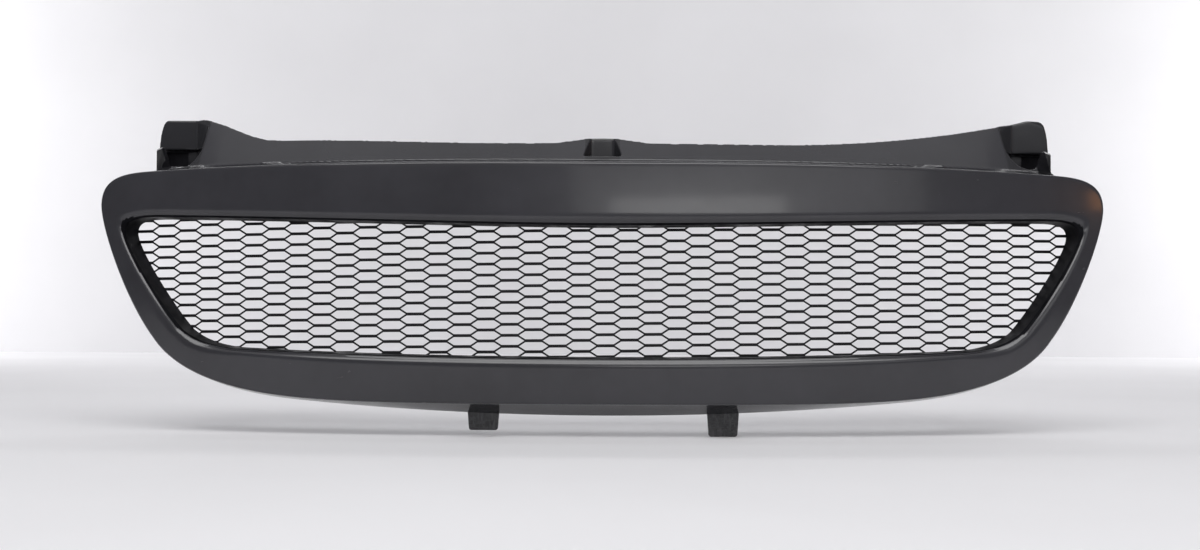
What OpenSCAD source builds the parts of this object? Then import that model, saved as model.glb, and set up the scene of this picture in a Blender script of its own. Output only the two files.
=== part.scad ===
// Front grille for a car: a glass-fibre surround with a skirt and a drafted opening, an upper
// flange bonded on behind its top edge, three screw cups, two locating tabs, and a bowed
// hexagonal mesh that riveted strips clamp against the back of the opening.
// Millimetres. +Z is up, -Y is the front, and the origin is under the middle of the part.

/* [Surround] */
// Width across the ends
overall_w = 940; // [900:1:980]
// Radius of the bow in plan, seen from above
bow_r = 2000; // [1800:10:2600]
// Radius of the face in the upright section
crown_r = 900; // [700:10:1400]
// Height at which the face comes furthest forward
crown_z = 135; // [115:1:155]
// Thickness of the laminate
wall_t = 3; // [2.5:0.1:3.5]
// How far the skirt's back edge lies behind the bow
skirt_depth = 34; // [32:1:36]
// Edge radius between the face and the skirt
edge_r = 2.5; // [2:0.1:3]

/* [Opening] */
// How far the mesh lies behind the bow
mesh_depth = 31; // [29:0.5:33]
// How much wider the opening is at its front than at the mesh, at each end
wall_flare = 2.8; // [2:0.1:3.5]
// How much taller it is there, at its top and at its bottom
level_flare = 0.7; // [0.5:0.1:2]
// Edge radius between the face and the opening's wall
lip_r = 2; // [1.5:0.1:2.5]
// Width and depth of the soft shoulder around the opening
shoulder_w = 14; // [10:1:16]
shoulder_d = 3.2; // [2:0.1:4]
// Width of the seat that the mesh lies on, behind the face
seat_w = 16; // [15:0.5:17]

/* [Mesh] */
// Long and short pitch of the cells
cell_pitch_x = 43.5; // [40:0.1:46]
cell_pitch_z = 10; // [9.5:0.1:12]
// Width of the level strands, where the sheet isn't slit, and of the slanting ones
strand_w = 2.8; // [2:0.1:3]
slant_w = 1.7; // [1.4:0.1:2]
// Thickness of the sheet
mesh_t = 1.5; // [1.2:0.1:2]
// Turn of the cell rows, in degrees, and their offset across and up
mesh_turn = 0.65; // [-0.8:0.05:0.8]
mesh_offset_x = 2.8; // [-10:0.1:10]
mesh_offset_z = 2.3; // [-5:0.1:5]

/* [Clamping] */
// Width and thickness of the clamp strips
strip_w = 13; // [12:0.5:13]
strip_t = 2; // [1.5:0.1:2.5]
// Diameter of the rivets
rivet_d = 4; // [3.2:0.1:4]

/* [Upper flange] */
// Rise of the flange's slope, in degrees
slope = 52; // [50:1:54]
// Height of the flange's crest in the middle
crest_z = 267.5; // [265.5:0.5:269.5]
// Heights of the left and right ears
left_ear_z = 297.5; // [295:0.5:299]
right_ear_z = 301; // [299:0.5:303]
// Thickness of the adhesive under the flange and the tabs
bond_t = 0.7; // [0.6:0.1:1]

/* [Screw cups] */
// Distance from the middle to the left and right cups' screw holes
left_cup_x = 393.5; // [392:0.5:395]
right_cup_x = 396.5; // [395:0.5:398]
// Height of the ledge where an outer cup steps back under its pad
ledge_z = 268.5; // [266:0.5:270]
// Diameter of the screw holes
screw_d = 7; // [6:0.1:8]

/* [Locating tabs] */
// Distances from the middle to the left and right tabs
left_tab_x = 107.5; // [100:0.5:120]
right_tab_x = 111; // [100:0.5:120]
// Width and thickness of a tab
tab_w = 28; // [24:1:30]
tab_t = 3.5; // [3:0.1:4]
// Height of the left tab's foot above the right one's
left_tab_z = 5; // [0:0.5:7]

/* [Hidden] */
$fn = 48;

gelcoat = [0.09, 0.09, 0.1];
coating = [0.03, 0.03, 0.03];
adhesive = [0.18, 0.18, 0.19];
alloy = [0.7, 0.71, 0.72];

nominal_w = 940;
stretch = overall_w / nominal_w;
half_w = overall_w / 2;

// ---------------------------------------------------------------- outlines
// Each outline runs down one side, from the middle of the top to the middle of the bottom, as
// five cubic curves: top edge, top corner, side, bottom corner and bottom edge. A point is
// [x, z], and neighbouring curves share their end point.
face_outline = [
    [0, 247.5], [140, 247.9], [280, 248.1], [420, 241.6],
    [450, 240.3], [467.5, 235], [467.5, 212.5],
    [468, 193.5], [440, 122.5], [413, 88.5],
    [388, 52], [330, 39.5], [281, 35],
    [225, 29.3], [110, 30.2], [0, 30.2]
];
skirt_outline = [
    [0, 247.5], [140, 247.9], [280, 248.1], [420, 241.6],
    [452, 240.2], [470, 235.5], [470, 212.5],
    [470.5, 193.5], [443, 121.5], [415.5, 86.5],
    [391, 47.5], [332, 36], [285, 31.5],
    [190, 23], [90, 18.9], [0, 18.9]
];
opening_outline = [
    [0, 189.3], [90, 189.3], [250, 194.5], [400, 198],
    [428, 198.7], [440.5, 198], [439.5, 184.5],
    [438.3, 170], [403, 118.5], [382, 95.9],
    [370, 86], [354, 81], [334, 79],
    [235, 74], [110, 72.2], [0, 72.2]
];
side_steps = [14, 5, 8, 7, 12];

function cubic(p, i, t) =
    (1 - t) ^ 3 * p[i] + 3 * (1 - t) ^ 2 * t * p[i + 1]
    + 3 * (1 - t) * t ^ 2 * p[i + 2] + t ^ 3 * p[i + 3];
function half_ring(outline) = [
    for (s = [0:4], k = [0:side_steps[s] - 1])
        let (p = cubic(outline, 3 * s, k / side_steps[s])) [p[0] * stretch, p[1]],
    outline[15]
];
function ring(outline) =
    let (right = half_ring(outline), n = len(right))
    concat(right, [for (i = [n - 2:-1:1]) [-right[i][0], right[i][1]]]);

face_ring = ring(face_outline);
skirt_ring = ring(skirt_outline);
opening_ring = ring(opening_outline);
stations = len(face_ring);
side_stations = stations / 2;

function unit(v) = v / norm(v);
function wrap(i) = (i + stations) % stations;
// Outward normal of the opening's outline at a station
function out_of(i) =
    let (d = opening_ring[wrap(i + 1)] - opening_ring[wrap(i - 1)])
    unit([-d[1], d[0]]);
function around_opening(i, offset) = opening_ring[wrap(i)] + offset * out_of(i);

// ---------------------------------------------------------------- depths
// Depths run backwards from the tangent plane of the bow, and front_y puts them in the frame.
function bow(x) = bow_r - sqrt(bow_r ^ 2 - x ^ 2);
// The seat is concentric with the bow, so that a rolled sheet lies flat on it
function seat_depth(x) = bow_r - sqrt((bow_r - mesh_depth) ^ 2 - x ^ 2);
function face_depth(p) = bow(p[0]) + (p[1] - crown_z) ^ 2 / (2 * crown_r);
function top_edge_z(x) = cubic([for (k = [0:3]) face_outline[k][1]], 0, abs(x) / stretch / 420);

// ---------------------------------------------------------------- surround section
face_shares = [0, 0.15, 0.4, 0.7, 1];
shoulder_shares = [0.75, 0.5, 0.25];
roll_angles = [0:30:90];

function shoulder_drop(distance) = shoulder_d * max(0, 1 - distance / shoulder_w) ^ 2;

// One closed section of the laminate at a station, as [x, depth, z] points: up the outside of the
// skirt, over the edge, across the face, into the opening, out along the seat and back inside.
function section(i) =
    let (
        edge = face_ring[i],
        rear = skirt_ring[i],
        out = out_of(i),
        mouth = around_opening(i, wall_flare * out[0] ^ 2 + level_flare * out[1] ^ 2),
        inner = opening_ring[i],
        width = norm(edge - mouth),
        across = (edge - mouth) / width,
        flat_w = width - edge_r - shoulder_w,
        at = function(from, distance) from + across * distance,
        seat_end = around_opening(i, seat_w),
        wall_back = around_opening(i, wall_t),
        wall_front = mouth + out * wall_t,
        lip_y = face_depth(mouth) + shoulder_drop(0),
        skin = [
            for (share = face_shares)
                let (p = at(mouth, shoulder_w + flat_w * (1 - share))) [p, face_depth(p)],
            for (share = shoulder_shares)
                let (p = at(mouth, lip_r + (shoulder_w - lip_r) * share))
                    [p, face_depth(p) + shoulder_drop(norm(p - mouth) - lip_r)]
        ],
        points = concat(
            [[rear, bow(rear[0]) + skirt_depth]],
            [for (a = roll_angles)
                let (p = at(edge, -edge_r * (1 - cos(a)))) [p, face_depth(p) + edge_r * (1 - sin(a))]],
            [for (k = [1:len(skin) - 1]) skin[k]],
            [for (a = roll_angles)
                let (p = at(mouth, lip_r * (1 - sin(a)))) [p, lip_y + lip_r * (1 - cos(a))]],
            [[inner, seat_depth(inner[0])]],
            [[seat_end, seat_depth(seat_end[0])]],
            [[seat_end, seat_depth(seat_end[0]) - wall_t]],
            [[wall_back, seat_depth(wall_back[0]) - wall_t]],
            [[wall_front, lip_y + wall_t]],
            [for (k = [len(skin) - 1:-1:1]) [skin[k][0], skin[k][1] + wall_t]],
            [[at(edge, -wall_t), face_depth(edge) + wall_t]],
            [[rear + unit(mouth - edge) * wall_t, bow(rear[0]) + skirt_depth]]
        )
    )
    [for (p = points) [p[0][0], p[1], p[0][1]]];

shell_sections = [for (i = [0:stations - 1]) section(i)];
front_depth = min([for (s = shell_sections) for (p = s) p[1]]);

// ---------------------------------------------------------------- overall depth
leg_front = 12;   // the flange's leg starts this far behind the bow
bend = 22;        // and its slope starts here
cup_wall = 3;
ear_x = 412;
cup_floor_z = top_edge_z(left_cup_x) + bond_t + wall_t + 1;
pad_depth = bow(ear_x) + bend + (right_ear_z - top_edge_z(ear_x) - bond_t - wall_t) / tan(slope) + 0.5;
ledge_d = 5;
cup_back = pad_depth + ledge_d + cup_wall;
front_y = -(front_depth + cup_back) / 2;

// ---------------------------------------------------------------- swept solids
// A closed ring or an open run of sections, each [x, depth, z], as one polyhedron of triangles
module sweep(sections, closed) {
    n = len(sections);
    m = len(sections[0]);
    sides = [
        for (i = [0:n - (closed ? 1 : 2)], k = [0:m - 1])
            let (a = i * m + k, b = i * m + (k + 1) % m, c = (i + 1) % n * m + k, d = (i + 1) % n * m + (k + 1) % m)
                each [[a, b, d], [a, d, c]]
    ];
    ends = closed ? [] : [
        for (k = [1:m - 2]) each [[0, k + 1, k], [(n - 1) * m, (n - 1) * m + k, (n - 1) * m + k + 1]]
    ];
    translate([0, front_y, 0])
        polyhedron([for (s = sections) each s], concat(sides, ends), convexity = 10);
}

// Stands children up on the bowed seat at x and z, with their +Z pointing out of the front, and
// zero at the given depth behind the bow
module on_bow(p, depth) {
    translate([0, front_y + bow_r, p[1]])
        rotate([0, 0, asin(p[0] / (bow_r - mesh_depth))])
            translate([0, depth - bow_r, 0])
                rotate([90, 0, 0])
                    children();
}

// A 2D shape in x and z, extruded from one depth in front of the middle to another behind it
module upright(back, front) {
    translate([0, front_y + back, 0])
        rotate([90, 0, 0])
            linear_extrude(back - front)
                children();
}

// The part of an upright extrusion of a 2D shape that lies between two depths behind the bow
module bowed_sheet(from, to) {
    intersection() {
        upright(bow_r / 4, -50)
            children();
        translate([0, front_y + bow_r, 0])
            difference() {
                cylinder(r = bow_r - from, h = 300, $fn = 240);
                translate([0, 0, -1])
                    cylinder(r = bow_r - to, h = 302, $fn = 240);
            }
    }
}

// ---------------------------------------------------------------- rivets
rivet_line = 9;
rivet_fit = 0.1;
mesh_gap = 0.15;
strip_depth = mesh_depth + mesh_gap + mesh_t + mesh_gap;

function mirrored(points) = [for (p = points) [-p[0], p[1]]];

top_rivets_at = [for (i = [-12:4:12]) around_opening(i, rivet_line)];
right_rivets_at = [for (i = [17, 23, 30]) around_opening(i, rivet_line)];
left_rivets_at = mirrored(right_rivets_at);
bottom_rivets_at = [for (i = [side_stations - 9:3:side_stations + 9]) around_opening(i, rivet_line)];
rivets_at = concat(top_rivets_at, right_rivets_at, left_rivets_at, bottom_rivets_at);

module rivet_holes() {
    for (p = rivets_at)
        on_bow(p, mesh_depth + 8)
            cylinder(d = rivet_d + 2 * rivet_fit, h = 16);
}

// Domed head behind the strip, shank through everything, and the set tail inside the surround
module rivets(places) {
    head_h = 1.3;
    grip = strip_t + mesh_t + wall_t + 2 * mesh_gap;
    color(alloy)
        for (p = places)
            on_bow(p, strip_depth + strip_t + 0.05) {
                rotate([180, 0, 0])
                    cylinder(r1 = rivet_d, r2 = rivet_d * 0.55, h = head_h);
                cylinder(d = rivet_d, h = grip + 3);
                translate([0, 0, grip + 0.1])
                    cylinder(d = rivet_d * 1.5, h = 4);
            }
}

// ---------------------------------------------------------------- surround
module surround_shell() {
    color(gelcoat)
        difference() {
            sweep(shell_sections, true);
            rivet_holes();
        }
}

// ---------------------------------------------------------------- mesh
sheet_edge = 14;   // the sheet ends this far outside the opening
cell_edge = 5;     // and its cells end here, which leaves a plain margin for the rivets

// A cell's opening: a hexagon with level sides and a point at each end
module cell() {
    level_l = cell_pitch_x * 0.32;
    slant_run = cell_pitch_x / 2 - level_l;
    slant_rise = cell_pitch_z / 2;
    rise = (cell_pitch_z - strand_w) / 2;
    tip = (cell_pitch_x - level_l) / 2 - slant_w / 2 / sin(atan(slant_rise / slant_run));
    shoulder = tip - rise * slant_run / slant_rise;
    polygon([
        [-tip, 0], [-shoulder, -rise], [shoulder, -rise],
        [tip, 0], [shoulder, rise], [-shoulder, rise]
    ]);
}

cell_limit = [for (i = [0:stations - 1]) around_opening(i, cell_edge + cell_pitch_x / 3)];

// True where a point lies inside a closed outline
function is_inside(p, outline) =
    let (n = len(outline))
    len([
        for (i = [0:n - 1])
            let (a = outline[i], b = outline[(i + 1) % n])
                if ((a[1] > p[1]) != (b[1] > p[1])
                    && p[0] < (b[0] - a[0]) * (p[1] - a[1]) / (b[1] - a[1]) + a[0]) i
    ]) % 2 == 1;

cell_columns = ceil(half_w / (cell_pitch_x / 2));
cell_rows = 8;
cells_at = [
    for (c = [-cell_columns:cell_columns], r = [-cell_rows:cell_rows])
        let (
            flat = [c * cell_pitch_x / 2, (r + (c % 2 == 0 ? 0 : 0.5)) * cell_pitch_z],
            p = [mesh_offset_x + flat[0] * cos(mesh_turn) - flat[1] * sin(mesh_turn),
                 crown_z + mesh_offset_z + flat[0] * sin(mesh_turn) + flat[1] * cos(mesh_turn)]
        )
        if (is_inside(p, cell_limit)) p
];

module mesh_insert() {
    color(coating)
        difference() {
            bowed_sheet(mesh_depth + mesh_gap, mesh_depth + mesh_gap + mesh_t)
                polygon([for (i = [0:stations - 1]) around_opening(i, sheet_edge)]);
            upright(bow_r / 4, -50)
                intersection() {
                    polygon([for (i = [0:stations - 1]) around_opening(i, cell_edge)]);
                    for (p = cells_at)
                        translate(p)
                            rotate(mesh_turn)
                                cell();
                }
            rivet_holes();
        }
}

// ---------------------------------------------------------------- clamp strips
// A strip over a run of stations, centred on the line of rivets
module clamp_strip(from, to) {
    color(alloy)
        difference() {
            bowed_sheet(strip_depth, strip_depth + strip_t)
                polygon(concat(
                    [for (i = [from:to]) around_opening(i, rivet_line - strip_w / 2)],
                    [for (i = [to:-1:from]) around_opening(i, rivet_line + strip_w / 2)]
                ));
            rivet_holes();
        }
}

module top_clamp_strip() { clamp_strip(-14, 14); }
module right_clamp_strip() { clamp_strip(15, 33); }
module bottom_clamp_strip() { clamp_strip(34, stations - 34); }
module left_clamp_strip() { clamp_strip(-33, -15); }

module top_clamp_rivets() { rivets(top_rivets_at); }
module right_clamp_rivets() { rivets(right_rivets_at); }
module bottom_clamp_rivets() { rivets(bottom_rivets_at); }
module left_clamp_rivets() { rivets(left_rivets_at); }

// ---------------------------------------------------------------- upper flange
function ease(x, from, to) = let (t = min(1, max(0, (x - from) / (to - from)))) t * t * (3 - 2 * t);

// The crest swells over the centre cup, climbs late and steeply to the left ear, climbs early and
// gently to the right ear, and rounds off at each ear's outer edge.
ear_r = 8;
function ear_z(x) = x < 0 ? left_ear_z : right_ear_z;
function ear_edge(x) = x < 0 ? 430.5 : 433;
function flange_end(x) = x < 0 ? 417.5 : 422;
function crest(x) =
    let (
        a = abs(x) / stretch,
        swell = 5 * (1 - ease(a, 8, 48)),
        rise = ear_z(x) - crest_z,
        climb = x < 0
            ? 5 * ease(a, 80, 300) + (rise - 5) * ease(a, 305, 392)
            : rise * min(1, (max(0, a - 150) / 262) ^ 2),
        drop = 1 - sqrt(1 - min(1, max(0, (a - ear_edge(x) + ear_r) / ear_r)) ^ 2)
    )
    crest_z + swell + climb * (1 - drop);

crest_x = concat([for (x = [0:15:375]) x], [for (x = [382:6:418]) x]);
corner_angles = [0:15:90];
crest_stations = stretch * concat(
    [for (a = [90:-15:0]) -ear_edge(-1) + ear_r * (1 - sin(a))],
    [for (k = [len(crest_x) - 1:-1:1]) -crest_x[k]],
    crest_x,
    [for (a = corner_angles) ear_edge(1) - ear_r * (1 - sin(a))]
);
flange_stations = concat(
    [-flange_end(-1) * stretch],
    [for (x = crest_stations) if (abs(x) < (flange_end(x) - 1) * stretch) x],
    [flange_end(1) * stretch]
);

// Leg, bend and slope of the flange at x. Outboard of the cups it stops just under their ledge.
function flange_section(x) =
    let (
        b = bow(x),
        z0 = top_edge_z(x) + bond_t,
        z1 = z0 + wall_t,
        is_outboard = abs(x) > (x < 0 ? left_cup_x : right_cup_x) * stretch,
        zc = is_outboard ? min(crest(x), ledge_z - 1.5) : crest(x),
        run = (zc - z1) / tan(slope),
        lean = wall_t * tan(slope / 2)
    )
    [
        [x, b + leg_front, z0],
        [x, b + leg_front, z1],
        [x, b + bend, z1],
        [x, b + bend + run, zc],
        [x, b + bend + run + wall_t * sin(slope), zc - wall_t * cos(slope)],
        [x, b + bend + lean, z0]
    ];

// Everything under the leg's top and the slope's face at x
function under_slope(x) =
    let (b = bow(x), root = b + bend, z = top_edge_z(x) + bond_t + wall_t, reach = 80)
    [
        [x, b, z - 20], [x, b, z], [x, root, z],
        [x, root + reach, z + reach * tan(slope)], [x, root + reach, z - 20]
    ];

module upper_flange() {
    fit = 0.15;
    color(gelcoat)
        difference() {
            sweep([for (x = flange_stations) flange_section(x)], false);
            for (side = [-1, 1])
                outer_cup_slot(side, 0, 400)
                    outer_cup_plan(side, cup_wall + fit, pad_depth);
            centre_cup_slot(0, 400)
                centre_cup_plan(cup_wall + fit);
        }
}

module flange_bond() {
    skin = 0.03;
    color(adhesive)
        sweep([
            for (x = flange_stations)
                let (b = bow(x), low = top_edge_z(x) + skin, high = low + bond_t - 2 * skin)
                    [[x, b + leg_front + 0.3, low], [x, b + leg_front + 0.3, high],
                     [x, b + bend - 5, high], [x, b + bend - 5, low]]
        ], false);
}

// ---------------------------------------------------------------- screw cups
bowl_r = 15.5;
bore_y = 40;
centre_floor_z = top_edge_z(0) + bond_t + wall_t + 0.5;
centre_mouth = 17.7;
centre_throat = 10.8;
centre_front = bend + 3;
centre_pad = bend + (crest_z + 5 - top_edge_z(0) - bond_t - wall_t) / tan(slope) + 0.5;

function cup_x(side) = (side < 0 ? left_cup_x : right_cup_x) * stretch;
// Depth of the middle of an outer cup's round front; the left cup sits further forward
function bowl_y(side) = bow(cup_x(side)) + bore_y - (side < 0 ? 3.5 : 0);

// An upright prism between two heights, from a plan about an outer cup's middle
module outer_cup_slot(side, from, to) {
    translate([cup_x(side) * side, front_y, from])
        linear_extrude(to - from)
            children();
}

// Plan of an outer cup, grown by a wall: a round front, an inboard wall that slants in to the pad,
// and an outboard wall that spreads as it goes back
module outer_cup_plan(side, wall, back) {
    r = bowl_r + wall;
    y = bowl_y(side);
    slant = 16;
    pad_end = (ear_edge(side) + 4) * stretch - cup_x(side);
    translate([0, y])
        circle(r);
    polygon([
        [-side * r, y], [side * (r - 1) * cos(40), y - (r - 1) * sin(40)],
        [side * (pad_end + wall), back + wall],
        [side * (slant - r), back + wall], [-side * r, back + wall - slant]
    ]);
}

// Plan of what lies outboard of a cup's bowl and in front of its pad, where the ear is open
module outboard_of_cup(side) {
    beside = side * (bowl_r * cos(40) - 1.5);
    beyond = side * 60;
    front = bowl_y(side) - 25;
    polygon([[beside, front], [beyond, front], [beyond, pad_depth], [beside, pad_depth]]);
}

module outer_cup(side) {
    bottom = cup_floor_z - cup_wall;
    color(coating)
        difference() {
            intersection() {
                union() {
                    outer_cup_slot(side, bottom, ledge_z + cup_wall)
                        outer_cup_plan(side, cup_wall, pad_depth + ledge_d);
                    outer_cup_slot(side, bottom, ear_z(side) + 1)
                        outer_cup_plan(side, cup_wall, pad_depth);
                }
                sweep([for (x = crest_stations) if (x * side > 350 * stretch) under_slope(x)], false);
                under_crest();
            }
            outer_cup_slot(side, cup_floor_z, ledge_z)
                outer_cup_plan(side, 0, pad_depth + ledge_d);
            outer_cup_slot(side, cup_floor_z, ear_z(side) + 9)
                outer_cup_plan(side, 0, pad_depth);
            outer_cup_slot(side, ledge_z, ear_z(side) + 9)
                outboard_of_cup(side);
            translate([cup_x(side) * side, front_y + bowl_y(side), bottom - 1])
                cylinder(d = screw_d, h = 9);
        }
}

// Everything under the crest's outline, seen from the front
module under_crest() {
    upright(250, -50)
        polygon(concat(
            [for (x = crest_stations) [x, crest(x)]],
            [[ear_edge(1) * stretch, 0], [-ear_edge(-1) * stretch, 0]]
        ));
}

module centre_cup_slot(from, to) {
    translate([0, front_y, from])
        linear_extrude(to - from)
            children();
}

module centre_cup_plan(wall) {
    front = centre_front - wall;
    back = centre_pad + wall;
    polygon([
        [-centre_mouth - wall, front], [centre_mouth + wall, front],
        [centre_throat + wall, back], [-centre_throat - wall, back]
    ]);
}

module centre_screw_cup() {
    bottom = centre_floor_z - cup_wall;
    color(coating)
        difference() {
            intersection() {
                centre_cup_slot(bottom, crest_z + 9)
                    centre_cup_plan(cup_wall);
                sweep([for (x = [-30:10:30]) under_slope(x)], false);
                under_crest();
            }
            centre_cup_slot(centre_floor_z, crest_z + 10)
                centre_cup_plan(0);
            translate([0, front_y + (centre_front + centre_pad) / 2, bottom - 1])
                cylinder(d = screw_d, h = 9);
        }
}

module left_screw_cup() { outer_cup(-1); }
module right_screw_cup() { outer_cup(1); }

// ---------------------------------------------------------------- locating tabs
// Height of the skirt's back edge under x
function skirt_rear_z(x) = lookup(x, [for (i = [side_stations:-1:34]) skirt_ring[i]]);
function face_foot_z(x) = lookup(x, [for (i = [side_stations:-1:34]) face_ring[i]]);

foot_l = 17;

function tab_x(side) = side < 0 ? left_tab_x : right_tab_x;
function tab_floor_z(side) = skirt_rear_z(tab_x(side)) + wall_t;
// Lean of the skirt's inside under a tab's foot
function tab_lean(side) =
    let (
        rise = face_foot_z(tab_x(side)) - skirt_rear_z(tab_x(side)),
        run = skirt_depth - (face_foot_z(tab_x(side)) - crown_z) ^ 2 / (2 * crown_r) - wall_t
    )
    atan(rise / run);

// A tab's own frame: on the inside of the skirt at its back edge, turned to the bow
module at_tab(side) {
    x = tab_x(side);
    mirror([side < 0 ? 1 : 0, 0, 0])
        translate([x * stretch, front_y + bow(x) + skirt_depth, tab_floor_z(side)])
            rotate([0, 0, asin(x / bow_r)])
                children();
}

// The bonded foot runs forward up the inside of the skirt, and the blade hangs behind it
module locating_tab(side, foot_z) {
    drop = tab_floor_z(side) - foot_z;
    corner = 2.5;
    blade_y = 1.2;
    taper = 0.8;
    color(gelcoat)
        at_tab(side) {
            rotate([-tab_lean(side), 0, 0])
                translate([-tab_w / 2, -foot_l, bond_t + 0.3])
                    cube([tab_w, foot_l + 3, tab_t]);
            translate([0, blade_y + tab_t, 0])
                rotate([90, 0, 0])
                    linear_extrude(tab_t)
                        union() {
                            polygon([
                                [-tab_w / 2 - 0.8, 3], [-tab_w / 2 + taper, corner - drop],
                                [-tab_w / 2 + taper + corner, -drop], [tab_w / 2 - taper - corner, -drop],
                                [tab_w / 2 - taper, corner - drop], [tab_w / 2 + 0.8, 3]
                            ]);
                            for (s = [-1, 1])
                                translate([s * (tab_w / 2 - taper - corner), corner - drop])
                                    circle(corner);
                        }
        }
}

module tab_bond(side) {
    color(adhesive)
        at_tab(side)
            rotate([-tab_lean(side), 0, 0])
                translate([-tab_w / 2 + 1, -foot_l + 1, 0.2])
                    cube([tab_w - 2, foot_l - 4, bond_t]);
}

module left_locating_tab() { locating_tab(-1, left_tab_z); }
module right_locating_tab() { locating_tab(1, 0); }
module left_tab_bond() { tab_bond(-1); }
module right_tab_bond() { tab_bond(1); }

surround_shell();
upper_flange();
flange_bond();
left_screw_cup();
centre_screw_cup();
right_screw_cup();
left_locating_tab();
right_locating_tab();
left_tab_bond();
right_tab_bond();
mesh_insert();
top_clamp_strip();
bottom_clamp_strip();
left_clamp_strip();
right_clamp_strip();
top_clamp_rivets();
bottom_clamp_rivets();
left_clamp_rivets();
right_clamp_rivets();
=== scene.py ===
"""Front grille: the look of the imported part, in metres, in the CAD's own frame."""
import math
import random

import bmesh
import bpy
from mathutils import Euler, Matrix, Vector, noise


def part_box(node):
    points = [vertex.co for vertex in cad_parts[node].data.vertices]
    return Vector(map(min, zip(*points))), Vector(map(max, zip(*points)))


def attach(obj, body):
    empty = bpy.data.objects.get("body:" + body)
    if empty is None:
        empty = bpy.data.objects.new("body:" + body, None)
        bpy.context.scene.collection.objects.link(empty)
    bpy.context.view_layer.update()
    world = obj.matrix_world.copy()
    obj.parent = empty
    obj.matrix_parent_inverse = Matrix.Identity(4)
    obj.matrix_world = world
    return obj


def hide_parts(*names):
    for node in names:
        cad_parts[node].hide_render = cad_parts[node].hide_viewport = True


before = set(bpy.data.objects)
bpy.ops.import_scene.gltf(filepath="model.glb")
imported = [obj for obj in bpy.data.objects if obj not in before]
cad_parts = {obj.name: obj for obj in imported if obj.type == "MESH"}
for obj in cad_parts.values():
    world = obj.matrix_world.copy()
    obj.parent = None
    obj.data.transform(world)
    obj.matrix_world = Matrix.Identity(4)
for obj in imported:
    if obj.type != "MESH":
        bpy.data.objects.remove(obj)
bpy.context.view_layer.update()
random.seed(7)
MM = 0.001
SCENE = bpy.context.scene

# ------------------------------------------------------------------ dimensions of the part, in mm
BOW_R = 2000
CROWN_R = 900
CROWN_Z = 135
WALL_T = 3
SKIRT_DEPTH = 34
EDGE_R = 2.5
MESH_DEPTH = 31
WALL_FLARE = 2.8
LEVEL_FLARE = 0.7
LIP_R = 2
SHOULDER_W = 14
SHOULDER_D = 3.2
SEAT_W = 16
CELL_PITCH_X = 43.5
CELL_PITCH_Z = 10
STRAND_W = 2.8
SLANT_W = 1.7
MESH_T = 1.5
MESH_TURN = math.radians(0.65)
MESH_OFFSET = (2.8, 2.3)
MESH_GAP = 0.15
STRIP_T = 2
RIVET_LINE = 9
RIVET_GAP = 0.05   # between a rivet's head and its strip

# Half outlines, from the middle of the top to the middle of the bottom, as cubic curves
FACE = [
    (0, 247.5), (140, 247.9), (280, 248.1), (420, 241.6),
    (450, 240.3), (467.5, 235), (467.5, 212.5),
    (468, 193.5), (440, 122.5), (413, 88.5),
    (388, 52), (330, 39.5), (281, 35),
    (225, 29.3), (110, 30.2), (0, 30.2),
]
SKIRT = [
    (0, 247.5), (140, 247.9), (280, 248.1), (420, 241.6),
    (452, 240.2), (470, 235.5), (470, 212.5),
    (470.5, 193.5), (443, 121.5), (415.5, 86.5),
    (391, 47.5), (332, 36), (285, 31.5),
    (190, 23), (90, 18.9), (0, 18.9),
]
OPENING = [
    (0, 189.3), (90, 189.3), (250, 194.5), (400, 198),
    (428, 198.7), (440.5, 198), (439.5, 184.5),
    (438.3, 170), (403, 118.5), (382, 95.9),
    (370, 86), (354, 81), (334, 79),
    (235, 74), (110, 72.2), (0, 72.2),
]
SIDE_STEPS = [14, 5, 8, 7, 12]
FINER = 4          # stations of the smooth surround for each one of the CAD model


# ------------------------------------------------------------------ outlines and depths
def cubic(points, i, t):
    a, b, c, d = (Vector(p) for p in points[i:i + 4])
    return (1 - t) ** 3 * a + 3 * (1 - t) ** 2 * t * b + 3 * (1 - t) * t ** 2 * c + t ** 3 * d


def ring(outline, finer=1):
    """All round an outline, clockwise from the middle of the top as seen from the front."""
    half = [
        cubic(outline, 3 * s, k / (steps * finer))
        for s, steps in enumerate(SIDE_STEPS)
        for k in range(steps * finer)
    ]
    half.append(Vector(outline[15]))
    return half + [Vector((-p.x, p.y)) for p in half[-2:0:-1]]


def outward(points, i):
    d = points[(i + 1) % len(points)] - points[i - 1]
    return Vector((-d.y, d.x)).normalized()


def around(points, i, offset):
    return points[i % len(points)] + offset * outward(points, i % len(points))


def bow(x, behind=0):
    """Depth of the bow, or of the surface that lies behind it and shares its axis."""
    return BOW_R - math.sqrt((BOW_R - behind) ** 2 - x ** 2)


def face_depth(p):
    return bow(p.x) + (p.y - CROWN_Z) ** 2 / (2 * CROWN_R)


# ------------------------------------------------------------------ mesh helpers
WELD = 2e-5          # in metres: points of a CAD node's mesh this close are one point
SLIVER = 1e-5
FLAT_ANGLE = 1.2     # in degrees: faces that meet at less are one flat face
EDGE_ANGLE = 30      # and edges sharper than this are rounded


def new_object(name, bm, materials, body="root"):
    mesh = bpy.data.meshes.new(name)
    bm.to_mesh(mesh)
    bm.free()
    obj = bpy.data.objects.new(name, mesh)
    SCENE.collection.objects.link(obj)
    for m in materials:
        mesh.materials.append(m)
    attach(obj, body)
    return obj


def smooth(obj, angle):
    """Smooth shading, with edges sharper than the angle, in degrees, kept sharp."""
    bm = bmesh.new()
    bm.from_mesh(obj.data)
    for f in bm.faces:
        f.smooth = True
    for e in bm.edges:
        e.smooth = len(e.link_faces) == 2 and e.calc_face_angle(0) < math.radians(angle)
    bm.to_mesh(obj.data)
    bm.free()


def modifier(obj, kind, **values):
    m = obj.modifiers.new(kind.title(), kind)
    for key, value in values.items():
        setattr(m, key, value)


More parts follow.
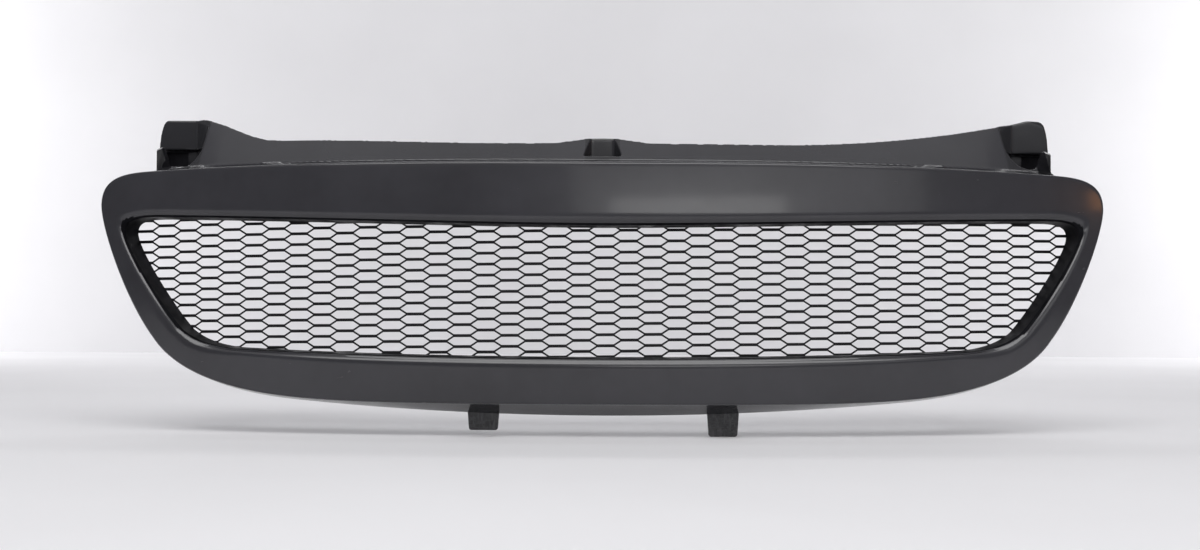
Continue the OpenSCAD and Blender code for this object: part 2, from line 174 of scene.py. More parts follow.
def welded(node):
    """A copy of a CAD node's mesh, in which faces that meet share their points."""
    bm = bmesh.new()
    bm.from_mesh(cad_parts[node].data)
    bmesh.ops.remove_doubles(bm, verts=bm.verts, dist=WELD)
    return bm


def from_node(name, piece, material, bevel):
    """A piece made from a CAD node's mesh, with its edges rounded by the bevel, in mm."""
    bm = welded(name)
    bmesh.ops.dissolve_degenerate(bm, edges=bm.edges, dist=SLIVER)
    bmesh.ops.dissolve_limit(
        bm, angle_limit=math.radians(FLAT_ANGLE), verts=bm.verts, edges=bm.edges,
        delimit={"NORMAL"},
    )
    obj = new_object(piece, bm, [material])
    smooth(obj, EDGE_ANGLE)
    modifier(
        obj, "BEVEL", width=bevel * MM, segments=2, limit_method="ANGLE",
        angle_limit=math.radians(EDGE_ANGLE), harden_normals=False, miter_outer="MITER_ARC",
    )
    modifier(obj, "WEIGHTED_NORMAL", keep_sharp=True, weight=60)
    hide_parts(name)


# ------------------------------------------------------------------ material helpers
class Nodes:
    """A material's node tree, with a Principled shader that the other nodes drive."""

    def __init__(
            self, name, roughness, metallic=0.0, coat=0.0, coat_roughness=0.05, specular=0.5):
        self.material = bpy.data.materials.new(name)
        self.material.use_nodes = True
        self.tree = self.material.node_tree
        self.shader = self.tree.nodes["Principled BSDF"]
        self.set("Roughness", roughness)
        self.set("Metallic", metallic)
        self.set("Coat Weight", coat)
        self.set("Coat Roughness", coat_roughness)
        self.set("Specular IOR Level", specular)
        self.place = self.add("ShaderNodeTexCoord").outputs["Object"]
        self.height = None

    def set(self, socket, value):
        self.shader.inputs[socket].default_value = value

    def add(self, kind, **values):
        node = self.tree.nodes.new(kind)
        for key, value in values.items():
            if key in node.inputs:
                node.inputs[key].default_value = value
            else:
                setattr(node, key, value)
        return node

    def link(self, a, b):
        self.tree.links.new(a, b)

    def stretched(self, scale):
        """Object coordinates in metres, scaled along each axis."""
        node = self.add("ShaderNodeMapping")
        node.inputs["Scale"].default_value = scale
        self.link(self.place, node.inputs["Vector"])
        return node.outputs["Vector"]

    def noise(self, scale, detail=3, roughness=0.5, distortion=0.0, place=None):
        node = self.add(
            "ShaderNodeTexNoise", Scale=scale, Detail=detail, Roughness=roughness,
            Distortion=distortion,
        )
        self.link(place or self.place, node.inputs["Vector"])
        return node.outputs["Fac"]

    def ramp(self, value, low, high, to_low, to_high):
        """Low to high becomes to_low to to_high, with what lies beyond held at the ends."""
        node = self.add("ShaderNodeMapRange")
        node.clamp = True
        sockets = ("From Min", "From Max", "To Min", "To Max")
        for socket, end in zip(sockets, (low, high, to_low, to_high)):
            node.inputs[socket].default_value = end
        self.link(value, node.inputs["Value"])
        return node.outputs["Result"]

    def mix(self, factor, a, b):
        """A colour between a and b, each a colour or a socket."""
        node = self.add("ShaderNodeMix", data_type="RGBA")
        self.link(factor, node.inputs["Factor"])
        for socket, value in ((node.inputs[6], a), (node.inputs[7], b)):
            if isinstance(value, tuple):
                socket.default_value = (*value, 1)
            else:
                self.link(value, socket)
        return node.outputs[2]

    def colour(self, socket):
        self.link(socket, self.shader.inputs["Base Color"])

    def patches(self, value, low, high, dark, light):
        """Base colour that goes from dark to light as the value goes from low to high."""
        self.colour(self.mix(self.ramp(value, low, high, 0, 1), dark, light))

    def rough(self, value, low, high, gloss, haze):
        """Roughness that goes from gloss to haze as the value goes from low to high."""
        self.link(self.ramp(value, low, high, gloss, haze), self.shader.inputs["Roughness"])

    def bump(self, height, strength, distance):
        """Adds a layer of relief: distance is its depth in mm."""
        node = self.add("ShaderNodeBump", Strength=strength, Distance=distance * MM)
        self.link(height, node.inputs["Height"])
        if self.height is not None:
            self.link(self.height, node.inputs["Normal"])
        self.height = node.outputs["Normal"]
        self.link(self.height, self.shader.inputs["Normal"])


def gelcoat(name, dark, light, gloss, haze, coat, specular):
    """Polished black gelcoat: long hand-laid waves, fine orange peel, hazy patches and dust."""
    m = Nodes(name, gloss, coat=coat, coat_roughness=0.09, specular=specular)
    tint = m.mix(m.ramp(m.noise(9, 4, 0.6), 0.35, 0.7, 0, 1), dark, light)
    dust = m.ramp(m.noise(900, 1, 0.5), 0.82, 0.86, 0, 0.2)
    m.colour(m.mix(dust, tint, (0.30, 0.30, 0.31)))
    smears = m.noise(38, 5, 0.65, 0.8, m.stretched((0.5, 1, 1.6)))
    m.rough(smears, 0.3, 0.75, gloss, haze)
    m.bump(m.noise(14, 1, 0.4), 0.35, 0.6)
    m.bump(m.noise(420, 2, 0.5), 0.3, 0.012)
    return m.material


def raw_laminate(name, dark, light):
    """The open side of the moulding: chopped strands under resin."""
    m = Nodes(name, 0.5, coat=0.15, coat_roughness=0.2)
    weave, *others = [
        m.noise(1, 4, 0.7, 1.6, m.stretched(scale))
        for scale in ((210, 40, 40), (40, 40, 230), (150, 60, 150))
    ]
    for strands in others:
        higher = m.add("ShaderNodeMath", operation="MAXIMUM")
        m.link(weave, higher.inputs[0])
        m.link(strands, higher.inputs[1])
        weave = higher.outputs[0]
    m.patches(weave, 0.45, 0.8, dark, light)
    m.rough(m.noise(60, 3), 0.3, 0.7, 0.38, 0.7)
    m.bump(weave, 0.8, 0.5)
    m.bump(m.noise(70, 4, 0.6), 0.6, 0.8)
    return m.material


def paste_painted_as_highlight():
    """Grey filler paste, lightened so that it shows as a light line along the top of the face: a
    painted highlight of the rolled edge.
    """
    m = Nodes("bonding_paste_painted_highlight", 0.6)
    # light grey: the grey of the paste, raised to paint the rolled edge's highlight
    m.patches(m.noise(120, 4), 0.35, 0.65, (0.10, 0.10, 0.105), (0.19, 0.19, 0.20))
    m.rough(m.noise(300, 2), 0.3, 0.7, 0.5, 0.8)
    m.bump(m.noise(180, 4, 0.6), 0.7, 0.6)
    return m.material


def opening_wall_painted_shade():
    """The opening's wall: a black darker than the gelcoat, which is painted shade, dull, with a
    few glossier runs.
    """
    m = Nodes("opening_wall_painted_shade", 0.45, specular=0.01)
    # near black, darker than the gelcoat: painted shade
    m.patches(m.noise(60, 4), 0.35, 0.7, (0.005, 0.005, 0.006), (0.012, 0.012, 0.014))
    m.rough(m.noise(35, 4, 0.6, 0.5, m.stretched((1, 0.4, 1))), 0.35, 0.7, 0.28, 0.6)
    m.bump(m.noise(240, 3), 0.4, 0.08)
    return m.material


def powder_coat():
    """Black satin powder coat, with a fine pebbled skin."""
    m = Nodes("mesh_powder_coat", 0.42, specular=0.25)
    m.patches(m.noise(45, 4), 0.4, 0.7, (0.007, 0.007, 0.008), (0.014, 0.014, 0.016))
    m.rough(m.noise(300, 2), 0.3, 0.7, 0.36, 0.55)
    m.bump(m.noise(1500, 2, 0.5), 0.4, 0.05)
    return m.material


def mill_aluminium():
    """Mill-finish strip: rolling lines from side to side, and dull blotches."""
    m = Nodes("mill_aluminium", 0.4, metallic=1.0)
    lines = m.noise(1, 3, 0.6, 0, m.stretched((12, 900, 900)))
    m.patches(m.noise(50, 4, 0.6), 0.35, 0.7, (0.50, 0.51, 0.52), (0.66, 0.67, 0.68))
    m.rough(lines, 0.3, 0.7, 0.3, 0.55)
    m.bump(lines, 0.25, 0.05)
    m.bump(m.noise(90, 3), 0.3, 0.2)
    return m.material


def rivet_aluminium():
    m = Nodes("rivet_aluminium", 0.3, metallic=1.0)
    m.patches(m.noise(400, 3), 0.35, 0.7, (0.58, 0.58, 0.59), (0.74, 0.74, 0.75))
    m.rough(m.noise(600, 3), 0.3, 0.7, 0.22, 0.42)
    m.bump(m.noise(500, 3), 0.3, 0.08)
    return m.material


# ------------------------------------------------------------------ surround
# Rows of the section, from the skirt's back edge forward, across the face and in to the seat
SIDE_STOPS = (0, 0.02, 0.25, 0.5, 0.75, 0.97)
ROLL_STEPS = 8
FACE_STEPS = 14
SHOULDER_STEPS = 9
LIP_STEPS = 7
WALL_STOPS = (0.05, 0.3, 0.6, 0.95, 1)
SEAT_STOPS = (0.03, 0.5, 0.98, 1)
# Rows in front of the wall that its painted shade covers, at the top, the bottom and the ends
TOP_SHADE_ROWS, BOTTOM_SHADE_ROWS, END_SHADE_ROWS = 8, 6, 11
SKIN, ROUGH, WALL_SHADE, UNDERSIDE_SHADE = range(4)
# Depth in mm of the hand-laid side's unevenness, and how often it comes, for each mm
UNEVEN, UNEVEN_RATE = 0.5, 0.06


def quarter(steps):
    """Angles from 0 to 90 degrees."""
    return [math.radians(90 * k / steps) for k in range(steps + 1)]


def surround_section(i, face, skirt, opening):
    """(outside, inside) of the laminate at a station, each a list of (x, depth, z)."""
    edge, rear = face[i], skirt[i]
    out = outward(opening, i)
    inner = opening[i]
    mouth = inner + out * (WALL_FLARE * out.x ** 2 + LEVEL_FLARE * out.y ** 2)
    width = (edge - mouth).length
    across = (edge - mouth) / width
    flat_w = width - EDGE_R - SHOULDER_W

    def at(start, distance):
        return start + across * distance

    def drop(distance):
        """How far the shoulder falls back, which it does more sharply on the level sides."""
        return SHOULDER_D * max(0, 1 - distance / SHOULDER_W) ** (2 + 3 * out.y ** 2)

    def point(p, y):
        return (p.x, y, p.y)

    corner = at(edge, -EDGE_R)
    roll = []
    for a in quarter(ROLL_STEPS):
        p = at(edge, -EDGE_R * (1 - math.cos(a)))
        roll.append(point(p, face_depth(p) + EDGE_R * (1 - math.sin(a))))
    back = (rear.x, bow(rear.x) + SKIRT_DEPTH, rear.y)
    side = [tuple(Vector(back).lerp(Vector(roll[0]), t)) for t in SIDE_STOPS]
    face_skin = []
    for k in range(1, FACE_STEPS + 1):
        p = at(mouth, SHOULDER_W + flat_w * (1 - k / FACE_STEPS))
        face_skin.append(point(p, face_depth(p)))
    for k in range(1, SHOULDER_STEPS):
        p = at(mouth, LIP_R + (SHOULDER_W - LIP_R) * (1 - k / SHOULDER_STEPS))
        face_skin.append(point(p, face_depth(p) + drop((p - mouth).length - LIP_R)))
    lip_y = face_depth(mouth) + drop(0)
    lip = [
        point(at(mouth, LIP_R * (1 - math.sin(a))),
              lip_y + LIP_R * (1 - math.cos(a)))
        for a in quarter(LIP_STEPS)
    ]
    seat = (inner.x, bow(inner.x, MESH_DEPTH), inner.y)
    wall = [tuple(Vector(lip[-1]).lerp(Vector(seat), t)) for t in WALL_STOPS]
    outside = side + roll[:-1] + [point(corner, face_depth(corner))] + face_skin + lip + wall

    seat_end = inner + out * SEAT_W
    wall_back = inner + out * WALL_T
    wall_front = mouth + out * WALL_T
    inside = []
    for t in SEAT_STOPS:
        p = inner + out * SEAT_W * t
        inside.append(point(p, bow(p.x, MESH_DEPTH)))
    inside += [
        point(seat_end, bow(seat_end.x, MESH_DEPTH) - WALL_T),
        point(wall_back, bow(wall_back.x, MESH_DEPTH) - WALL_T),
        point(wall_front, lip_y + WALL_T),
    ]
    inside += [(x, y + WALL_T, z) for x, y, z in reversed(face_skin[:-2])]
    inside += [
        point(at(edge, -WALL_T), face_depth(edge) + WALL_T),
        point(rear - across * WALL_T, bow(rear.x) + SKIRT_DEPTH),
    ]
    return outside, inside


def build_surround(skin, rough, wall, underside_shade):
    """The moulding, with its rolled edge, shoulder, lip and seat, and its uneven open side."""
    rings = [ring(o, FINER) for o in (FACE, SKIRT, OPENING)]
    count = len(rings[0])
    sections = [surround_section(i, *rings) for i in range(count)]
    bm = bmesh.new()
    split = len(sections[0][0])
    wall_rows, skirt_rows = len(WALL_STOPS), len(SIDE_STOPS) - 1
    rows = []
    for outside, inside in sections:
        row = []
        for k, (x, y, z) in enumerate(outside + inside):
            if k >= split + len(SEAT_STOPS):
                y += UNEVEN * noise.noise(Vector((x, y, z)) * UNEVEN_RATE)
            row.append(bm.verts.new(Vector((x, y + FRONT_Y, z)) * MM))
        rows.append(row)
    length = len(rows[0])
    for i in range(count):
        a, b = rows[i], rows[(i + 1) % count]
        # the wall's dark material, painted shade, runs over the lip, and at the ends on to the
        # shoulder too
        out = outward(rings[2], i)
        level_rows = TOP_SHADE_ROWS if out.y > 0 else BOTTOM_SHADE_ROWS
        covered = round(level_rows + (END_SHADE_ROWS - level_rows) * out.x ** 2)
        wall_from = split - wall_rows - covered
        for k in range(length):
            f = bm.faces.new((a[k], b[k], b[(k + 1) % length], a[(k + 1) % length]))
            f.material_index = SKIN if k < wall_from else WALL_SHADE if k < split - 1 else ROUGH
            # the lower skirt's underside takes the darker gelcoat: painted shade under the part
            if k < skirt_rows and rings[0][i].y < CROWN_Z:
                f.material_index = UNDERSIDE_SHADE
    bmesh.ops.recalc_face_normals(bm, faces=bm.faces)
    # the wall slot is the dark material of painted shade, the underside slot the darker gelcoat of
    # painted shade
    obj = new_object("surround_moulding", bm, [skin, rough, wall, underside_shade])
    smooth(obj, 40)
    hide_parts("surround_shell")


# ------------------------------------------------------------------ flange and cups
# Distances from the middle, in mm, at which the flange's pieces end and the cups' begin
FLANGE_CUT = 366
CENTRE_CUT = 27
# The flange's leg stands under its slope. The points of its front top edge are those at this
# depth behind the bow and above this height, which is more by the rise up to LEG_END_X
LEG_FRONT = 12
LEG_TOP = 244.5
LEG_MIDDLE_RISE = 2
LEG_END_X = 300
FAIRING = 9           # how far those points move back into the slope
# The left end, at the foot of the flange, and how much further in it is at the ledge
LEFT_END = 413.5
LEFT_END_LEAN = 1.1
FOOT_Z = 246
LEDGE_Z = 267
# Stretches of x that have the hollows' glossier, darker gelcoat, its darkness painted shade, and
# the ends beyond which the walls below the ledge take the wall's dull black, painted shade too
HOLLOW_SHADE_X = ((-440, -376.5), (-16, 16), (379.5, 440))
SHADE_BEYOND_X = (-404, 408)
# The remoulding: how far the nodes grow so that they join, the voxels and the smoothing
GROWTH = 0.12
VOXEL = 0.9
SMOOTHINGS = 4


def dress_flange(bm):
    """Fairs the leg's front edge into the slope and draws the left end in to its cup."""
    for v in bm.verts:
        x, y, z = v.co / MM
        depth = y - FRONT_Y - bow(x)
        rise = 0 if abs(x) > LEG_END_X else LEG_MIDDLE_RISE
        if abs(depth - LEG_FRONT) < 0.5 and z > LEG_TOP + rise:
            v.co.y += FAIRING * MM
        lean = LEFT_END_LEAN * min(1, max(0, (z - FOOT_Z) / (LEDGE_Z - FOOT_Z)))
        v.co.x = max(v.co.x, -(LEFT_END - lean) * MM)


def softened(nodes, name):
    """CAD nodes grown together, with every edge and inside corner rounded as in a mould."""
    bm = bmesh.new()
    for node in nodes:
        part = welded(node)
        if node == "upper_flange":
            dress_flange(part)
        part.normal_update()
        for v in part.verts:
            v.co += v.normal * GROWTH * MM
        grown = bpy.data.meshes.new(name)
        part.to_mesh(grown)
        part.free()
        bm.from_mesh(grown)
        bpy.data.meshes.remove(grown)
    mesh = bpy.data.meshes.new(name)
    bm.to_mesh(mesh)
    bm.free()
    obj = bpy.data.objects.new(name, mesh)
    SCENE.collection.objects.link(obj)
    modifier(obj, "REMESH", mode="VOXEL", voxel_size=VOXEL * MM)
    remoulded = obj.evaluated_get(bpy.context.evaluated_depsgraph_get())
    done = bpy.data.meshes.new_from_object(remoulded)
    bpy.data.objects.remove(obj)
    bm = bmesh.new()
    bm.from_mesh(done)
    for _ in range(SMOOTHINGS):
        bmesh.ops.smooth_vert(
            bm, verts=bm.verts, factor=0.5, use_axis_x=True, use_axis_y=True, use_axis_z=True)
    return bm


def slab(whole, low, high):
    """The part of a closed mesh between two upright planes, in mm, closed where it is cut."""
    bm = whole.copy()
    for x, keep in ((low, 1), (high, -1)):
        if x is not None:
            geom = bm.verts[:] + bm.edges[:] + bm.faces[:]
            cut = bmesh.ops.bisect_plane(
                bm, geom=geom, plane_co=(x * MM, 0, 0), plane_no=(keep, 0, 0), clear_inner=True)
            rim = [e for e in cut["geom_cut"] if isinstance(e, bmesh.types.BMEdge)]
            bmesh.ops.holes_fill(bm, edges=rim, sides=0)
    return bm


def build_flange_and_cups(material, hollow_shade, dull):
    """One remoulded form for the flange and its cups, cut into a piece for each node's stretch."""
    whole = softened(
        ("upper_flange", "left_screw_cup", "centre_screw_cup", "right_screw_cup"), "flange_form")
    for piece, node, slot, low, high in (
        ("left_cup_moulding", "left_screw_cup", "cup_gelcoat", None, -FLANGE_CUT),
        ("flange_moulding_left", "upper_flange", "gelcoat", -FLANGE_CUT, -CENTRE_CUT),
        ("centre_cup_moulding", "centre_screw_cup", "cup_gelcoat", -CENTRE_CUT, CENTRE_CUT),
        ("flange_moulding_right", "upper_flange", "gelcoat", CENTRE_CUT, FLANGE_CUT),
        ("right_cup_moulding", "right_screw_cup", "cup_gelcoat", FLANGE_CUT, None),
    ):
        obj = new_object(piece, slab(whole, low, high), [material, hollow_shade, dull])
        # the hollows take the darker gelcoat and the low walls at the ends the wall's black:
        # painted shade
        for f in obj.data.polygons:
            x, _, z = f.center / MM
            f.material_index = int(any(a < x < b for a, b in HOLLOW_SHADE_X))
            if z < LEDGE_Z and not SHADE_BEYOND_X[0] < x < SHADE_BEYOND_X[1]:
                f.material_index = 2
        smooth(obj, 60)
        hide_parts(node)
    whole.free()


# ------------------------------------------------------------------ mesh
LEVEL_SHARE = 0.32    # length of a hole's level strand, as a share of the pitch
CELLS_END = 12.5      # a hole is kept if its centre is less than this outside the opening
COLUMNS, ROWS = 22, 9
STRAND_ROUND = 0.35   # how far a strand's face is drawn in from its hole's wall
STRAND_SINK = 0.02    # and how far that face lies inside the sheet's thickness
SLANT_ROUND = 1.6     # how much more the drawing in leans towards up and down


def build_mesh(material):
    """Expanded sheet: each hole is a ring of points, and strands join neighbouring rings."""
    level_l = CELL_PITCH_X * LEVEL_SHARE
    slant_run = CELL_PITCH_X / 2 - level_l
    slant_rise = CELL_PITCH_Z / 2
    rise = (CELL_PITCH_Z - STRAND_W) / 2
    slant = math.atan(slant_rise / slant_run)
    tip = (CELL_PITCH_X - level_l) / 2 - SLANT_W / 2 / math.sin(slant)
    shoulder = tip - rise * slant_run / slant_rise
    # left tip, lower left, lower right, right tip, upper right and upper left
    hole = [
        (-tip, 0), (-shoulder, -rise), (shoulder, -rise),
        (tip, 0), (shoulder, rise), (-shoulder, rise),
    ]

    opening = ring(OPENING)
    limit = [around(opening, i, CELLS_END) for i in range(len(opening))]

    def is_inside(x, z):
        """Whether a line drawn out from the point crosses the limit an odd number of times."""
        odd = False
        for i in range(len(limit)):
            a, b = limit[i - 1], limit[i]
            if (a.y > z) != (b.y > z) and x < (b.x - a.x) * (z - a.y) / (b.y - a.y) + a.x:
                odd = not odd
        return odd

    def placed(x, z, y):
        """A point of the flat sheet, turned, offset and laid on the bow, y behind its middle."""
        c, s = math.cos(MESH_TURN), math.sin(MESH_TURN)
        px = MESH_OFFSET[0] + x * c - z * s
        pz = CROWN_Z + MESH_OFFSET[1] + x * s + z * c
        depth = bow(px, MESH_DEPTH + MESH_GAP + MESH_T / 2) + y
        return Vector((px, depth + FRONT_Y, pz)) * MM

    cells = {
        (c, r): (c * CELL_PITCH_X / 2, (r + (0.5 if c % 2 else 0)) * CELL_PITCH_Z)
        for c in range(-COLUMNS, COLUMNS + 1)
        for r in range(-ROWS, ROWS + 1)
    }
    half = MESH_T / 2 - STRAND_SINK
    bm = bmesh.new()
    verts = {}

    def corner(key, k, side):
        """Point k of a hole, on the front (-1) or back (1) of the sheet, or in its wall (0)."""
        if (key, k, side) not in verts:
            cx, cz = cells[key]
            hx, hz = hole[k]
            x, z = cx + hx, cz + hz
            if side:
                d = Vector((hx, hz * SLANT_ROUND)).normalized() * STRAND_ROUND
                x, z = x + d.x, z + d.y
            verts[key, k, side] = bm.verts.new(placed(x, z, side * half))
        return verts[key, k, side]

    def patch(corners):
        """A strand's front and back, or those of the place where strands meet."""
        bm.faces.new([corner(key, k, -1) for key, k in corners])
        bm.faces.new([corner(key, k, 1) for key, k in corners[::-1]])

    keep = {
        key for key, (cx, cz) in cells.items()
        if abs(key[0]) < COLUMNS and abs(key[1]) < ROWS and is_inside(
            MESH_OFFSET[0] + cx, CROWN_Z + MESH_OFFSET[1] + cz)
    }
    done = set()
    for key in keep:
        c, r = key
        up, down = (c, r + 1), (c, r - 1)
        high = r + (1 if c % 2 else 0)
        upper_right, upper_left = (c + 1, high), (c - 1, high)
        lower_right, lower_left = (c + 1, high - 1), (c - 1, high - 1)
        wanted = [
            ("level", key, up, [(key, 5), (key, 4), (up, 2), (up, 1)]),
            ("level", down, key, [(down, 5), (down, 4), (key, 2), (key, 1)]),
            ("rise", key, upper_right, [(key, 4), (key, 3), (upper_right, 1), (upper_right, 0)]),
            ("rise", lower_left, key, [(lower_left, 4), (lower_left, 3), (key, 1), (key, 0)]),
            ("fall", key, upper_left, [(key, 0), (key, 5), (upper_left, 3), (upper_left, 2)]),
            ("fall", lower_right, key, [(lower_right, 0), (lower_right, 5), (key, 3), (key, 2)]),
            ("joint", key, "right_up", [(key, 4), (upper_right, 0), (up, 2)]),
            ("joint", key, "left_up", [(key, 5), (up, 1), (upper_left, 3)]),
            ("joint", down, "right_up", [(down, 4), (lower_right, 0), (key, 2)]),
            ("joint", down, "left_up", [(down, 5), (key, 1), (lower_left, 3)]),
            ("joint", lower_left, "right_up", [(lower_left, 4), (key, 0), (upper_left, 2)]),
            ("joint", lower_right, "left_up", [(lower_right, 5), (upper_right, 1), (key, 3)]),
        ]
        for kind, a, b, corners in wanted:
            if (kind, a, b) not in done:
                done.add((kind, a, b))
                patch(corners)
        for k in range(6):
            n = (k + 1) % 6
            for side in (-1, 1):
                wall = [
                    corner(key, k, 0), corner(key, n, 0),
                    corner(key, n, side), corner(key, k, side),
                ]
                bm.faces.new(wall if side > 0 else wall[::-1])
    # close the outer rim between the front and the back
    rim = [e for e in bm.edges if len(e.link_faces) == 1]
    partner = {}
    for (key, k, side), v in verts.items():
        if side:
            partner[v] = verts.get((key, k, -side))
    for e in rim:
        a, b = e.verts
        pa, pb = partner.get(a), partner.get(b)
        if pa and pb:
            quad = {a, b, pa, pb}
            if len(quad) == 4 and not any(set(f.verts) == quad for f in a.link_faces):
                bm.faces.new((a, b, pb, pa))
    bmesh.ops.recalc_face_normals(bm, faces=bm.faces)
    obj = new_object("expanded_mesh", bm, [material])
    smooth(obj, 50)
    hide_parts("mesh_insert")


# ------------------------------------------------------------------ rivets
# Stations of the opening's outline that have a rivet, and 1 or -1 for the side they are on
RIVET_STATIONS = {
    "top_clamp_rivets": (range(-12, 13, 4), 1),
    "bottom_clamp_rivets": (range(37, 56, 3), 1),
    "right_clamp_rivets": ((17, 23, 30), 1),
    "left_clamp_rivets": ((17, 23, 30), -1),
}


LATHE_STEPS = 20


def lathe(bm, profile, matrix):
    """Turns a profile of (radius, z) about its axis."""
    rows = []
    for s in range(LATHE_STEPS):
        a = 2 * math.pi * s / LATHE_STEPS
        rows.append([
            bm.verts.new(matrix @ Vector((r * math.cos(a), r * math.sin(a), z)))
            for r, z in profile
        ])
    for s in range(LATHE_STEPS):
        a, b = rows[s], rows[(s + 1) % LATHE_STEPS]
        for k in range(len(profile) - 1):
            bm.faces.new((a[k], b[k], b[k + 1], a[k + 1]))
    bmesh.ops.remove_doubles(bm, verts=[v for row in rows for v in row], dist=1e-7)


def build_rivets(name, material):
    """Blind rivets: a domed head with the broken mandrel in it, and a bulged tail."""
    opening = ring(OPENING)
    stations, side = RIVET_STATIONS[name]
    grip = STRIP_T + MESH_T + WALL_T + 2 * MESH_GAP
    head = [
        (0, -0.35), (0.75, -0.4), (0.85, -0.9), (1.15, -1.25), (1.7, -1.3), (2.5, -1.1),
        (3.3, -0.72), (3.85, -0.3), (4.0, -0.05), (3.9, 0), (2, 0),
    ]
    tail = [
        (2, grip), (2.3, grip + 0.1), (2.85, grip + 0.8), (3.0, grip + 1.7), (2.8, grip + 2.9),
        (2.2, grip + 3.7), (1.5, grip + 4), (1.0, grip + 3.8), (0, grip + 3.75),
    ]
    bm = bmesh.new()
    for i in stations:
        p = around(opening, i, RIVET_LINE)
        x, z = p.x * side, p.y
        turn = math.asin(x / (BOW_R - MESH_DEPTH))
        depth = MESH_DEPTH + MESH_GAP + MESH_T + MESH_GAP + STRIP_T + RIVET_GAP
        matrix = (
            Matrix.Scale(MM, 4)
            @ Matrix.Translation((0, FRONT_Y + BOW_R, z))
            @ Matrix.Rotation(turn, 4, "Z")
            @ Matrix.Translation((0, depth - BOW_R, 0))
            @ Matrix.Rotation(math.radians(90), 4, "X")
            @ Matrix.Rotation(random.uniform(0, 6), 4, "Z")
        )
        lathe(bm, head + tail, matrix)
    bmesh.ops.recalc_face_normals(bm, faces=bm.faces)
    obj = new_object(name.replace("clamp", "blind"), bm, [material])
    smooth(obj, 40)
    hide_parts(name)


# ------------------------------------------------------------------ lights, stage and camera
ROOM_X, ROOM_FRONT, ROOM_H = 7, -6, 5       # in metres, as all lengths from here on
WALL_Y = 2.8          # the wall is this far behind the part, so that views from behind are free
FLOOR_COLOUR = (0.86, 0.855, 0.87)
WALL_COLOUR = (0.76, 0.755, 0.77)
SKY, SKY_STRENGTH = (0.95, 0.95, 1.0, 1), 0.23
WHITE, AMBER = (1, 1, 1), (1, 0.42, 0.14)
# Area lights: place, aim, size, power in watts and colour
LIGHTS = {
    "wall_lamp_left": ((-2.7, 1.9, 0.8), (-1.9, WALL_Y, 0.3), (0.8, 1.2), 17, WHITE),
    "wall_lamp_right": ((2.7, 1.9, 0.8), (1.9, WALL_Y, 0.3), (0.8, 1.2), 17, WHITE),
    "ceiling": ((0, -0.2, 2.3), (0, -0.2, 0), (3.0, 1.2), 5, WHITE),
    "wall_wash": ((0, 1.5, 2.6), (0, WALL_Y, 0.7), (4.5, 0.5), 25, WHITE),
    "key": ((0, -1.7, 2.1), (0, 0, 0), (2.8, 1.3), 47, WHITE),
    "rail_softbox": ((0.6, -3.2, 0.95), (0, 0, 0.15), (1.1, 0.3), 3, WHITE),
    "rail_softbox_wide": ((0.95, -3.3, 1.2), (0, 0, 0.15), (2.4, 0.8), 5, WHITE),
    "warm_lamp": ((1.5, -0.9, 0.55), (0.4, 0, 0.15), (0.08, 0.08), 0.1, AMBER),
}
# The camera: its focal length and sideways shift are for an image IMAGE_W wide, the sensor is in
# mm, and its gap is the distance in front of the part
IMAGE_W, SENSOR_W = 1200, 36
FOCAL_LENGTH, SHIFT = 1300, -2
CAMERA_GAP, CAMERA_H = 1.152, 0.1053
CAMERA_PITCH, CAMERA_ROLL = math.radians(92), math.radians(0.28)


def area_light(name, place, aim, size, energy, colour):
    light = bpy.data.lights.new(name, "AREA")
    light.shape = "RECTANGLE"
    light.size, light.size_y = size
    light.energy = energy
    light.color = colour
    obj = bpy.data.objects.new(name, light)
    obj.location = place
    obj.rotation_euler = (Vector(aim) - Vector(place)).to_track_quat("-Z", "Y").to_euler()
    obj.visible_camera = False
    SCENE.collection.objects.link(obj)


def plain_surface(name, colour):
    """Matt paint with very faint patches."""
    m = Nodes(name, 0.75, specular=0.2)
    darker = tuple(c * 0.97 for c in colour)
    m.patches(m.noise(2.5, 3), 0.35, 0.65, colour, darker)
    m.bump(m.noise(700, 2), 0.15, 0.03)
    return m.material


def build_stage():
    for name, near, far, colour in (
        ("floor", (ROOM_FRONT, 0), (WALL_Y, 0), FLOOR_COLOUR),
        ("wall", (WALL_Y, 0), (WALL_Y, ROOM_H), WALL_COLOUR),
    ):
        corners = [(-ROOM_X, *near), (ROOM_X, *near), (ROOM_X, *far), (-ROOM_X, *far)]
        bm = bmesh.new()
        bm.faces.new([bm.verts.new(c) for c in corners])
        mesh = bpy.data.meshes.new(name)
        bm.to_mesh(mesh)
        bm.free()
        obj = bpy.data.objects.new(name, mesh)
        mesh.materials.append(plain_surface(name + "_paint", colour))
        SCENE.collection.objects.link(obj)


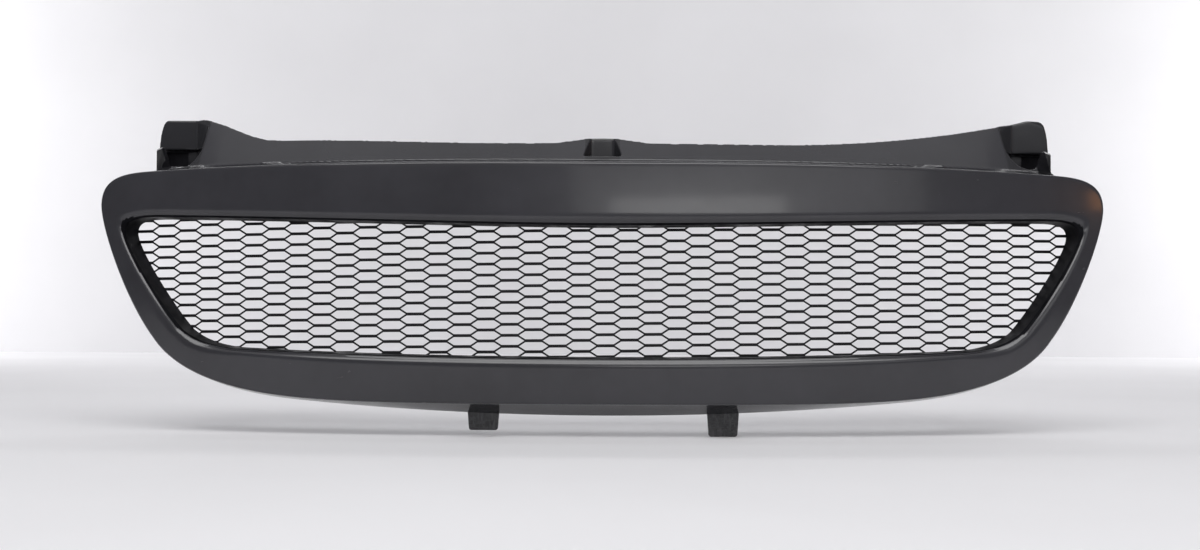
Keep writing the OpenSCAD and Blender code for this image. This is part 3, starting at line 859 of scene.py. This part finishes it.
def build_camera():
    data = bpy.data.cameras.new("camera")
    data.sensor_width = SENSOR_W
    data.lens = SENSOR_W * FOCAL_LENGTH / IMAGE_W
    data.shift_x = SHIFT / IMAGE_W
    obj = bpy.data.objects.new("camera", data)
    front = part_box("surround_shell")[0].y
    obj.location = (0, front - CAMERA_GAP, CAMERA_H)
    level = Euler((CAMERA_PITCH, 0, 0)).to_matrix()
    obj.rotation_euler = (level @ Matrix.Rotation(CAMERA_ROLL, 3, "Z")).to_euler()
    SCENE.collection.objects.link(obj)
    SCENE.camera = obj


def build_lights():
    SCENE.view_settings.view_transform = "Standard"
    world = bpy.data.worlds.new("studio")
    world.use_nodes = True
    back = world.node_tree.nodes["Background"]
    back.inputs["Color"].default_value = SKY
    back.inputs["Strength"].default_value = SKY_STRENGTH
    SCENE.world = world
    for name, values in LIGHTS.items():
        area_light(name, *values)


# ------------------------------------------------------------------ assembly
# The CAD's own stations tell how far forward the face comes, and so where the bow's depth is 0
stations = [ring(outline) for outline in (FACE, SKIRT, OPENING)]
front_depth = min(
    depth for i in range(len(stations[0]))
    for _, depth, _ in surround_section(i, *stations)[0]
)
FRONT_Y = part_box("surround_shell")[0].y / MM - front_depth

black = gelcoat(
    "black_gelcoat", (0.020, 0.0195, 0.0235), (0.030, 0.0295, 0.035),
    gloss=0.22, haze=0.28, coat=0.45, specular=0.45)
# A darker copy of the gelcoat, painted shade, for the cups' hollows and the lower skirt's
# underside
shaded_gelcoat = gelcoat(
    "cup_gelcoat", (0.014, 0.014, 0.016), (0.021, 0.021, 0.024),
    gloss=0.14, haze=0.24, coat=0.35, specular=0.4)
laminate = raw_laminate("chopped_strand_laminate", (0.02, 0.02, 0.022), (0.105, 0.105, 0.11))
# the opening wall's black, darker than the gelcoat: painted shade on the wall, lip, shoulder and
# the cups' low walls
paint = opening_wall_painted_shade()
# light grey paste, also a painted highlight along the top of the face
paste = paste_painted_as_highlight()
coat = powder_coat()
strip_metal = mill_aluminium()
rivet_metal = rivet_aluminium()

build_camera()
build_stage()
build_lights()
build_surround(black, laminate, paint, shaded_gelcoat)
build_mesh(coat)
build_flange_and_cups(black, shaded_gelcoat, paint)
for side in ("left", "right"):
    from_node(f"{side}_locating_tab", f"{side}_tab_laminate", laminate, 0.5)
# the bonds' paste is lightened, a painted highlight along the top of the face
for joined in ("flange", "left_tab", "right_tab"):
    from_node(f"{joined}_bond", f"{joined}_paste", paste, 0.15)
for edge in ("top", "bottom", "left", "right"):
    from_node(f"{edge}_clamp_strip", f"{edge}_strip", strip_metal, 0.3)
for rivets in RIVET_STATIONS:
    build_rivets(rivets, rivet_metal)
